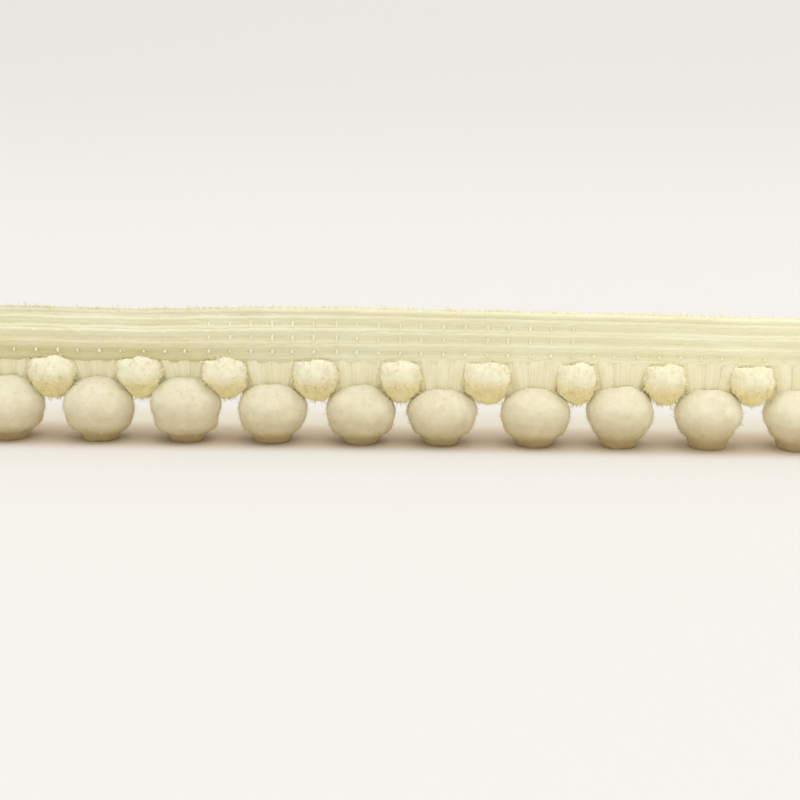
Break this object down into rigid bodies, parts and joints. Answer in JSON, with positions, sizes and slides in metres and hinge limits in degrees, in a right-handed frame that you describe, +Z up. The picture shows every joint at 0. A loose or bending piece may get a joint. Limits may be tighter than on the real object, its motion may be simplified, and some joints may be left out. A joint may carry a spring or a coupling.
{
  "type": "pompom fringe trim",
  "caption": "Straight cut length of narrow knitted cream tape standing on the small felted yarn pompoms of its lower edge, with short tufts between them.",
  "frame": {"origin": "centre of the trim's box in plan, on the surface that the pompoms' feet stand on", "axes": "+X along the trim, +Y through it from its front face to its back, +Z up from the pompoms to the tape's top edge"},
  "size_m": [0.0756, 0.0049, 0.0097],
  "materials": {
    "tape_yarn": "matte warp-knitted yarn with glossy fine nylon stitches",
    "pompom_yarn": "felted cut yarn, matte, with a short fuzz",
    "tuft_yarn": "soft cut yarn, matte, fluffier than the pompoms"
  },
  "bodies": {
    "root": {"tape": "tape_yarn", "pompom_01": "pompom_yarn", "pompom_02": "pompom_yarn", "pompom_03": "pompom_yarn", "pompom_04": "pompom_yarn", "pompom_05": "pompom_yarn", "pompom_06": "pompom_yarn", "pompom_07": "pompom_yarn", "pompom_08": "pompom_yarn", "pompom_09": "pompom_yarn", "pompom_10": "pompom_yarn", "pompom_11": "pompom_yarn", "pompom_12": "pompom_yarn", "tuft_01": "tuft_yarn", "tuft_02": "tuft_yarn", "tuft_03": "tuft_yarn", "tuft_04": "tuft_yarn", "tuft_05": "tuft_yarn", "tuft_06": "tuft_yarn", "tuft_07": "tuft_yarn", "tuft_08": "tuft_yarn", "tuft_09": "tuft_yarn", "tuft_10": "tuft_yarn", "tuft_11": "tuft_yarn"}
  },
  "joints": []
}
